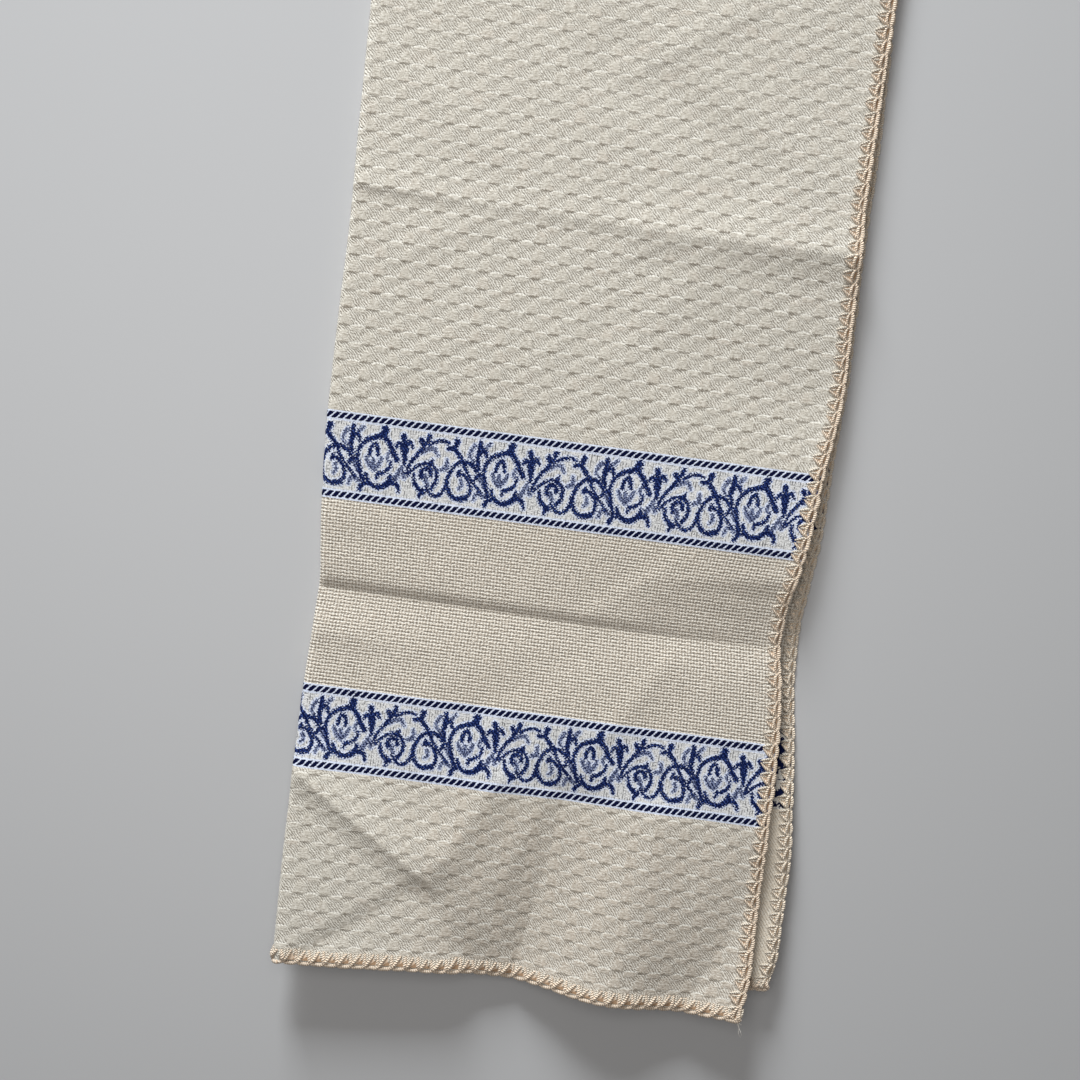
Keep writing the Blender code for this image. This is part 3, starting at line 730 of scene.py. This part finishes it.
def band_material():
    """A band: white ground with fine ticks, blue ornament and navy rope dashes."""
    cloth = Fabric("cotton_band", WHITE, sheen=0.0)
    s, v = cloth.s, cloth.v
    solid, half, rope = (cloth.attribute(name) for name in ("solid", "half_tone", "rope"))
    grain, fine = cloth.noise(0.9, 0.7), cloth.noise(0.6, 0.6)
    pits = fine.step(0.47, 0.30) * 0.50
    ragged = (s.wave(1.6) * v.wave(1.5)) * 0.34 + (grain - 0.5) * 3.6
    worn = cloth.noise(6, 5).step(0.40, 0.60)
    ticks = (s + (cloth.noise(2, 3) - 0.5) * 0.9).wave(1.2).step(0.2, 0.8)
    ticks = ticks * cloth.noise(1.4, 2.2).step(0.46, 0.56)
    rows = (v + (cloth.noise(3, 2) - 0.5) * 0.8).wave(1.45).step(0.3, 0.8)
    rows = rows * cloth.noise(2.4, 1.2).step(0.50, 0.60)
    cloth.tint(fine.step(0.48, 0.62) * 0.9, WHITE_LIGHT)
    cloth.tint(pits, GREY_THREAD)
    cloth.tint(ticks.larger(rows * 0.7) * (0.60 + 0.38 * worn), GREY_THREAD)
    motif = solid.larger(half)
    halo = (motif.larger(rope) + ragged * 0.4).step(-1.2, -0.5)
    cloth.tint(halo * 0.92, COOL_WHITE)
    cloth.tint(halo * pits, COOL_SHADE)
    streak = (s + 0.8 * v).wave(1.9) * 0.16 + (fine - 0.5) * 3.4
    inside_half = (half + 0.22 + ragged).step(-0.10, 0.10)
    cloth.tint(inside_half, BLUE)
    cloth.tint(inside_half * streak.step(-0.25, 0.35) * 0.72, HALF_BLUE)
    inside = (solid + 0.26 + ragged).step(-0.10, 0.10)
    cloth.tint(inside, BLUE)
    cloth.tint(inside * streak.step(0.0, 0.55) * 0.72, PALE_BLUE)
    cloth.tint((rope + 0.02 + ragged * 0.22).step(-0.1, 0.1), NAVY)
    height = motif.larger(rope).step(-0.2, 0.2) * 0.6 - ticks * 0.5 + grain * 0.9
    return cloth.finish(height, 0.18 * MM)


def band_back_material():
    """The wrong side of a band: the ornament's threads lie over it, and specks of blue show in its white."""
    cloth = Fabric("cotton_band_back", WHITE_BACK, sheen=0.04)
    speck, fine = cloth.noise(1.1, 0.8), cloth.noise(0.5, 0.5)
    motif = cloth.attribute("solid").larger(cloth.attribute("half_tone"))
    cloth.tint(fine.step(0.45, 0.2) * 0.45, GREY_THREAD)
    cloth.tint(speck.step(0.57, 0.64), BLUE)
    cloth.tint((motif + 0.6 + (speck - 0.5) * 3).step(-0.2, 0.2), BLUE)
    cloth.tint((cloth.attribute("rope") + (speck - 0.5) * 1.5).step(-0.2, 0.2), NAVY)
    return cloth.finish(speck, 0.18 * MM)


def yarn_material(name, colour, light, dark):
    """Yarn of two twisted plies. Its map is length along the yarn and turns round it."""
    yarn = Fabric(name, colour, roughness=0.85, sheen=0.2)
    fuzz = yarn.noise(0.8, 0.3)
    ply = (yarn.s / 0.95 - yarn.v * 2 + (fuzz - 0.5) * 0.5).wave(1.0)
    yarn.tint(ply.step(-0.1, 1.0) * 0.65, light)
    yarn.tint(ply.step(-0.2, -1.0) * 0.50, dark)
    yarn.tint(yarn.noise(9, 3).step(0.5, 0.7) * 0.25, light)
    return yarn.finish(ply + fuzz, 0.25 * MM)


def plain_cotton(name, colour):
    """Plain thread without a pattern, for the painted shade in the stitches' hollows, the yarn between them,
    and loose fibres.
    """
    thread = Fabric(name, colour)
    return thread.finish(thread.noise(0.6, 0.6), 0.1 * MM)


RELIEFS = {"scales": scale_relief, "basket": basket_relief}


def zone_part(zone, u_lines, v_lines, side, share, back_slot):
    """One side of a zone on a grid of lines, as a part of its piece."""
    u, v = np.meshgrid(u_lines, v_lines, indexing="ij")
    s = FOLD_AT_HEM / MM - u
    none = np.full(u.shape, FAR_OUTSIDE)
    numbers = {"solid": none, "half_tone": none, "rope": rope_depth(s, v)}
    if zone.weave == "band":
        lines = [line for line in ROPE_LINES if zone.start < line < zone.end]
        numbers["solid"], numbers["half_tone"] = ornament(s, v, *lines)
        relief = band_relief(np.max(list(numbers.values()), axis=0))
    else:
        ends = np.minimum(v - zone.start, zone.end - v)
        relief = RELIEFS[zone.weave](s, v) * eased(ends / RELIEF_FADE)
    height = FACE_HEIGHT + relief * MM if side > 0 else np.full(u.shape, -FACE_HEIGHT)
    points = towel_points(u * MM, v * MM, height)
    faces = grid_quads(*u.shape, flip=side > 0)
    maps = {"Threads": np.stack([s, v], -1), "OFBake": sheet_places(zone, (u_lines, v_lines), *share)}
    return part_of(points, faces, 0 if side > 0 else back_slot, maps, numbers)


def zone_grids(zone):
    """The lines across and along of a zone's three grids, and the side of the cloth that each is on."""
    first_s, first_v = SCALE_AT if zone.weave == "scales" else (0, 0)
    free_edge = TOWEL_WIDTH / MM - CLOTH_INSET
    fine_u = lines_at(CLOTH_INSET, FINE_TO, zone.across, FOLD_AT_HEM / MM - first_s)
    fine_v = lines_at(zone.start, zone.end, zone.along, first_v)
    if zone.weave == "band":
        coarse_u, coarse_v = lines_at(FINE_TO, free_edge, COARSE_BAND_PITCH, 0), fine_v[::2]
    else:
        coarse_u = np.linspace(FINE_TO, free_edge, COARSE_LINES)
        coarse_v = np.linspace(zone.start, zone.end, round((zone.end - zone.start) / COARSE_PITCH))
    back_u = np.concatenate([np.linspace(CLOTH_INSET, FINE_TO, COARSE_LINES), coarse_u[1:]])
    return (fine_u, fine_v, 1), (coarse_u, coarse_v, 1), (back_u, coarse_v, -1)


def sheet_places(zone, grid, low, high):
    """A grid's places on its share of the sheet's map, cut across a long zone and along a short one."""
    ways = [np.interp(lines, lines[[0, -1]], (0, 1)) for lines in grid]
    shared = 0 if zone.end - zone.start > FINE_TO else 1
    ways[shared] = low + (high - low) * ways[shared]
    return np.stack(np.meshgrid(*ways, indexing="ij"), -1)


def make_zone(zone, materials):
    """A zone of the cloth as a strip from free edge to free edge, round the fold, with both its sides."""
    parts = []
    for grid, share in zip(zone_grids(zone), SHEET_SHARES):
        parts.append(zone_part(zone, *grid, share, back_slot=len(materials) - 1))
    return mesh_object(zone.name, parts, materials)


# The stitches of the edging. A yarn is its points, so far along the edge, in from it and above the cloth's
# middle, its radius at the start, half way and at the end, its steps between points, its sides, the faces of
# the cloth it lies on, and its material. A patch is what shows in a hollow between yarns, at a height: the
# yarn between them, or a brown triangle of painted shade. The stitches lean, and their tips, points and
# widths vary.
STITCH_PITCH = 6.25
LEAN_FROM, LEAN_REACH = 1.5, 4.7
TIP_SCATTER, POINT_SCATTER, WIDTH_SCATTER = 0.35, 0.10, 0.08
STITCH_SEED = 7
# The edging's material slots: peach yarn, the hollows' painted shade, pale yarn and the yarn between
PEACH, PAINTED_HOLLOW_SHADE, PALE, FILL = range(4)
RIM, BAR, LEG, STRAND = (3, 8, (1,)), (3, 6, (1, -1)), (4, 6, (1, -1)), (2, 5, (1, -1))
YARN_FIELDS = ("name", "points", "radii", "steps", "sides", "faces", "material")
HEM_YARNS = (
    ("rim", ((-0.5, 2.0, 0.3), (0.8, 1.05, 0.2), (3.0, 0.8, 0.1), (5.3, 1.0, 0.3), (6.9, 2.3, 0.9)),
     (0.62, 1.02, 0.6), *RIM, PEACH),
    ("left leg", ((0.2, 1.7, 0.5), (1.4, 3.5, 1.0), (3.3, 6.8, 0.4)), (0.80, 0.82, 0.42), *LEG, PEACH),
    ("right leg", ((6.1, 1.9, 0.6), (5.7, 3.6, 1.0), (4.9, 7.0, 0.4)), (0.74, 0.80, 0.40), *LEG, PEACH),
    ("strand", ((4.2, 3.8, 0.5), (4.4, 5.2, 0.8), (4.1, 7.2, 0.3)), (0.40, 0.50, 0.30), *STRAND, PALE),
    ("right strand", ((6.9, 2.9, 0.3), (6.6, 4.9, 0.8), (6.4, 7.6, 0.3)), (0.52, 0.58, 0.32), *STRAND, PALE),
    ("left strand", ((1.0, 3.4, 0.5), (1.3, 5.0, 0.8), (1.7, 7.4, 0.3)), (0.45, 0.52, 0.30), *STRAND, PALE),
)
# Patches of the hem: the yarn between, and a smaller one of painted shade in the hollow
HEM_PATCHES = (
    (((0.6, 2.4), (5.8, 2.4), (4.4, 5.8)), 0.70, FILL),
    (((2.0, 2.2), (5.0, 2.3), (4.4, 4.3)), 0.80, PAINTED_HOLLOW_SHADE),
)
SIDE_YARNS = (
    ("rim", ((-0.4, 2.0, 0.4), (0.8, 1.0, 0.4), (3.1, 0.85, 0.4), (5.3, 1.05, 0.5), (6.7, 2.1, 0.9)),
     (0.58, 0.98, 0.6), *RIM, PEACH),
    ("inner bar", ((0.3, 2.6, 0.4), (2.2, 3.3, 0.9), (4.6, 3.0, 0.95), (6.4, 2.1, 0.7)), (0.50, 0.74, 0.50),
     *BAR, PEACH),
    ("left leg", ((0.1, 2.6, 0.4), (1.0, 4.2, 0.9), (3.2, 7.0, 0.4)), (0.62, 0.68, 0.36), *LEG, PEACH),
    ("right leg", ((6.0, 2.8, 0.6), (5.2, 4.4, 0.9), (4.0, 7.1, 0.4)), (0.60, 0.62, 0.34), *LEG, PALE),
    ("strand", ((3.9, 3.6, 0.6), (3.5, 4.8, 0.9), (3.4, 6.2, 0.5)), (0.50, 0.52, 0.30), *STRAND, PALE),
)
# Patches of the sides: the yarn between, and two of painted shade in the hollows
SIDE_PATCHES = (
    (((0.4, 2.8), (6.0, 2.8), (3.7, 6.3)), 0.70, FILL),
    (((0.9, 2.4), (5.2, 1.6), (4.9, 2.5)), 0.90, PAINTED_HOLLOW_SHADE),
    (((4.4, 3.7), (5.0, 4.2), (4.1, 5.6)), 0.80, PAINTED_HOLLOW_SHADE),
)
# Runs of stitches: the piece, the solid it replaces, its edge, its start and end along that edge, and the
# lean of its stitches. Each long side is two pieces.
SIDE_INSET, SIDE_MIDDLE = 1.5, 348.0
HEM = (0.0, TOWEL_WIDTH / MM, 0.4)
NEAR_HALF, FAR_HALF = (SIDE_INSET, SIDE_MIDDLE, 0.6), (SIDE_MIDDLE, TOWEL_LENGTH / MM - SIDE_INSET, 0.6)
YARN_RUNS = (
    ("yarn_near_hem", "edging_near_hem", "near", *HEM),
    ("yarn_far_hem", "edging_far_hem", "far", *HEM),
    ("yarn_upper_side_near", "edging_upper_side", "upper", *NEAR_HALF),
    ("yarn_upper_side_far", "edging_upper_side", "upper", *FAR_HALF),
    ("yarn_lower_side_near", "edging_lower_side", "lower", *NEAR_HALF),
    ("yarn_lower_side_far", "edging_lower_side", "lower", *FAR_HALF),
)
# Loose ends at the near hem's free corner: where each ends, so far across, along and up from the corner
LOOSE_ENDS = ((3.4, -8.2, -1.6), (3.0, -5.2, -1.0), (3.6, -6.6, -0.4), (2.5, -1.4, 0.4))
LOOSE_RADIUS, LOOSE_TAPER = 0.26 * MM, 0.35
# No point of the towel is lower than this
LOWEST = 0.05 * MM


def edge_points(edge, along, inward, height):
    """Points (u, v, height) in millimetres, so far along one edge of the flat towel and in from it."""
    width, length = TOWEL_WIDTH / MM, TOWEL_LENGTH / MM
    places = {
        "near": (width - along, inward),
        "far": (width - along, length - inward),
        "upper": (inward, along),
        "lower": (width - inward, along),
    }
    return np.stack(np.broadcast_arrays(*places[edge], height), -1)


def tubes(paths, radii, sides, material=0):
    """Tubes along many paths at once. paths is (tube, ring, 3) and radii (tube, ring), in one unit."""
    run = np.gradient(paths, axis=1)
    run /= np.linalg.norm(run, axis=-1, keepdims=True)
    level = np.cross(run, (0.0, 0.0, 1.0))
    level /= np.linalg.norm(level, axis=-1, keepdims=True)
    steep = np.cross(level, run)
    turn = np.arange(sides + 1) / sides
    angle = (turn * 2 * np.pi)[None, None, :, None]
    ring = np.cos(angle) * level[:, :, None] + np.sin(angle) * steep[:, :, None]
    rings = paths[:, :, None] + radii[:, :, None, None] * ring
    steps = np.linalg.norm(np.diff(paths, axis=1), axis=-1)
    length = np.concatenate([np.zeros((len(paths), 1)), np.cumsum(steps, axis=1)], axis=1)
    place = np.stack(np.broadcast_arrays(length[:, :, None], turn[None, None]), -1)
    first = grid_quads(paths.shape[1], sides + 1)
    faces = first[None] + (np.arange(len(paths)) * paths.shape[1] * (sides + 1))[:, None, None]
    return part_of(rings, faces.reshape(-1, 4), material, {"Threads": place})


def stitched_yarns(edge, first, last, lean, chance):
    """All the yarns and patches of one run of stitches, as parts on the flat towel, in millimetres."""
    count = round((last - first) / STITCH_PITCH)
    pitch = (last - first) / count
    starts = first + np.arange(count) * pitch
    hem = edge in ("near", "far")
    tip_shift = chance.normal(0, TIP_SCATTER, (count, 2)) + (lean, 0)
    found = []
    for yarn in rows_of(HEM_YARNS if hem else SIDE_YARNS, YARN_FIELDS):
        for face in yarn.faces:
            shifted = np.repeat(np.array(yarn.points)[None], count, axis=0)
            share = np.clip((shifted[..., 1] - LEAN_FROM) / LEAN_REACH, 0, 1)[..., None]
            shifted[..., :2] += share * tip_shift[:, None]
            shifted += chance.normal(0, POINT_SCATTER, shifted.shape)
            shifted[..., 0] *= pitch / STITCH_PITCH
            shifted[..., 2] *= face
            paths = np.stack([smooth_path(path, yarn.steps) for path in shifted])
            t = np.linspace(0, 1, paths.shape[1])
            start, middle, end = yarn.radii
            width = start * (1 - t) ** 2 + end * t**2 + (2 * middle - (start + end) / 2) * 2 * t * (1 - t)
            width = width * (1 + chance.normal(0, WIDTH_SCATTER, (count, 1)))
            paths = edge_points(edge, starts[:, None] + paths[..., 0], paths[..., 1], paths[..., 2])
            found.append(tubes(paths, width, yarn.sides, yarn.material))
    for triangle, height, material in HEM_PATCHES if hem else SIDE_PATCHES:
        for face in (1, -1):
            corners = np.repeat(np.array(triangle)[None], count, axis=0)
            corners[:, 2] += tip_shift
            flat = edge_points(edge, starts[:, None] + corners[..., 0], corners[..., 1], face * height)
            faces = np.arange(3 * count).reshape(-1, 3)
            found.append(part_of(flat, faces, material, {"Threads": np.zeros((3 * count, 2))}))
    return found


def make_yarn(name, edge, first, last, lean, materials, chance):
    """One piece of the edging, laid on the folded towel."""
    parts = stitched_yarns(edge, first, last, lean, chance)
    for part in parts:
        part.points = towel_points(*(part.points.T * MM))
    return mesh_object(name, parts, materials)


def make_loose_ends(material):
    """The frayed ends of the edging's yarn, at the near hem's free corner."""
    corner = towel_points(1.0 * MM, 1.0 * MM)
    paths = []
    for i, end in enumerate(LOOSE_ENDS):
        end = np.array(end) * MM
        sag = np.array([0.5 - 0.3 * i, 0.2, -0.5]) * MM
        points = [corner - end * 0.2, corner + end * 0.35 + sag, corner + end * 0.7 - sag * 0.8, corner + end]
        paths.append(smooth_path(points, PATH_STEPS))
    paths = np.stack(paths)
    share = np.linspace(1, LOOSE_TAPER, paths.shape[1])
    threads = tubes(paths, np.full((len(paths), 1), LOOSE_RADIUS) * share, sides=5)
    return mesh_object("loose_ends", [threads], [material])


# The photograph's camera, nearly straight above: its lens, lean and turn, and its place from the folded
# edge's near end
CAMERA_LENS = 39.03
CAMERA_LEAN, CAMERA_TURN = math.radians(-3.4), math.radians(7.7)
CAMERA_PLACE = (86.8, 235.6, 530.8)

# The light: a low lamp like a window beyond the far end, a soft one overhead, and the room's even light
LOW_LAMP_RISE = math.radians(17.5)
LOW_LAMP_WAY = (-0.298, 0.955, 0)
LOW_LAMP_DISTANCE = 2.5
LOW_LAMP_AIM = (-0.01, -0.15, 0)
OVERHEAD_LAMP = (-0.11, -0.08, 0.55)
WINDOW_LIGHT, ROOM_LIGHT = (0.965, 0.99, 1), (1, 0.972, 0.94)
ROOM_STRENGTH = 0.17
FLOOR_COLOUR = (0.563, 0.569, 0.583, 1)


def make_camera():
    """The camera at the photograph's viewing angle."""
    camera = bpy.data.objects.new("camera", bpy.data.cameras.new("camera"))
    camera.data.lens = CAMERA_LENS
    camera.data.clip_start = 0.01
    place = Vector(CORNER) + Vector(CAMERA_PLACE) * MM
    camera.matrix_world = Matrix.LocRotScale(place, Euler((CAMERA_LEAN, 0, CAMERA_TURN)), None)
    bpy.context.scene.collection.objects.link(camera)
    bpy.context.scene.camera = camera


def add_lamp(name, place, target, size, energy, colour):
    """A square lamp that faces its target."""
    lamp = bpy.data.objects.new(name, bpy.data.lights.new(name, "AREA"))
    lamp.data.size = size
    lamp.data.energy = energy
    lamp.data.color = colour
    lamp.location = place
    lamp.rotation_euler = (Vector(place) - Vector(target)).to_track_quat("Z", "Y").to_euler()
    bpy.context.scene.collection.objects.link(lamp)


def make_light():
    """The two lamps and the room's even light."""
    way = Vector(LOW_LAMP_WAY) * math.cos(LOW_LAMP_RISE) + Vector((0, 0, math.sin(LOW_LAMP_RISE)))
    aim = Vector(LOW_LAMP_AIM)
    add_lamp("low_lamp", aim + way * LOW_LAMP_DISTANCE, aim, size=0.7, energy=90, colour=WINDOW_LIGHT)
    x, y, _ = OVERHEAD_LAMP
    add_lamp("overhead_lamp", OVERHEAD_LAMP, (x, y, 0), size=0.4, energy=1.03, colour=ROOM_LIGHT)
    world = bpy.data.worlds.new("room")
    world.use_nodes = True
    fill(world.node_tree.nodes["Background"], {"Color": (*ROOM_LIGHT, 1), "Strength": ROOM_STRENGTH})
    bpy.context.scene.world = world
    bpy.context.scene.view_settings.view_transform = "Standard"


def make_floor():
    """The pale surface that the towel lies on."""
    bpy.ops.mesh.primitive_plane_add(size=8)
    floor = bpy.context.object
    floor.name = "floor"
    material = bpy.data.materials.new("pale_floor")
    material.use_nodes = True
    fill(material.node_tree.nodes["Principled BSDF"], {"Base Color": FLOOR_COLOUR, "Roughness": 0.8})
    floor.data.materials.append(material)


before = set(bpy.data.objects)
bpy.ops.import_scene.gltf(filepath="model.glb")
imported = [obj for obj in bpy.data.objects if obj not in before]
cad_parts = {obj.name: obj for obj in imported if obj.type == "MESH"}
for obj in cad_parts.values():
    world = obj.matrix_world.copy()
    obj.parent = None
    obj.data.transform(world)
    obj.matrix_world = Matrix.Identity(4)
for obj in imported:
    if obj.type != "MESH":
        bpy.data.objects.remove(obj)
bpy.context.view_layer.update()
CORNER = table_corner()

weaves = {
    "scales": [scales_material(), scales_back_material()],
    "basket": [basket_material()],
    "band": [band_material(), band_back_material()],
}
for zone in rows_of(ZONES, ZONE_FIELDS):
    piece = make_zone(zone, weaves[zone.weave])
    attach(piece, "root")
    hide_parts("cloth")

# The edging's materials in the order of peach yarn, the hollows' painted shade, pale yarn and the yarn
# between. The lower side's copies are lighter: painted light against the shade the upper layer casts there.
yarn = [
    yarn_material("yarn_peach", (0.93, 0.745, 0.57, 1), (1.0, 0.93, 0.81, 1), (0.50, 0.33, 0.21, 1)),
    # Painted shade: the brown laid in the hollows between the stitches' yarns
    plain_cotton("hollow_painted_shade", (0.40, 0.26, 0.16, 1)),
    yarn_material("yarn_pale", (0.90, 0.80, 0.66, 1), (1.0, 0.95, 0.87, 1), (0.55, 0.44, 0.32, 1)),
    plain_cotton("yarn_between", (0.78, 0.61, 0.46, 1)),
]
# Lighter copies for the lower side's edging: painted light, where the upper layer casts its shade
painted_light = [
    yarn_material("yarn_faded", (1.0, 0.86, 0.69, 1), (1.0, 0.95, 0.86, 1), (0.60, 0.45, 0.31, 1)),
    plain_cotton("yarn_hollow_faded", (0.60, 0.45, 0.31, 1)),
    yarn[PALE],
    plain_cotton("yarn_between_faded", (0.92, 0.77, 0.61, 1)),
]
chance = np.random.default_rng(STITCH_SEED)
for name, node, edge, first, last, lean in YARN_RUNS:
    # The lower side takes the lighter copies, painted light against the upper layer's shade
    piece = make_yarn(name, edge, first, last, lean, painted_light if edge == "lower" else yarn, chance)
    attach(piece, "root")
    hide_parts(node)
ends = make_loose_ends(plain_cotton("yarn_white", (0.90, 0.87, 0.82, 1)))
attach(ends, "root")

make_camera()
make_light()
make_floor()
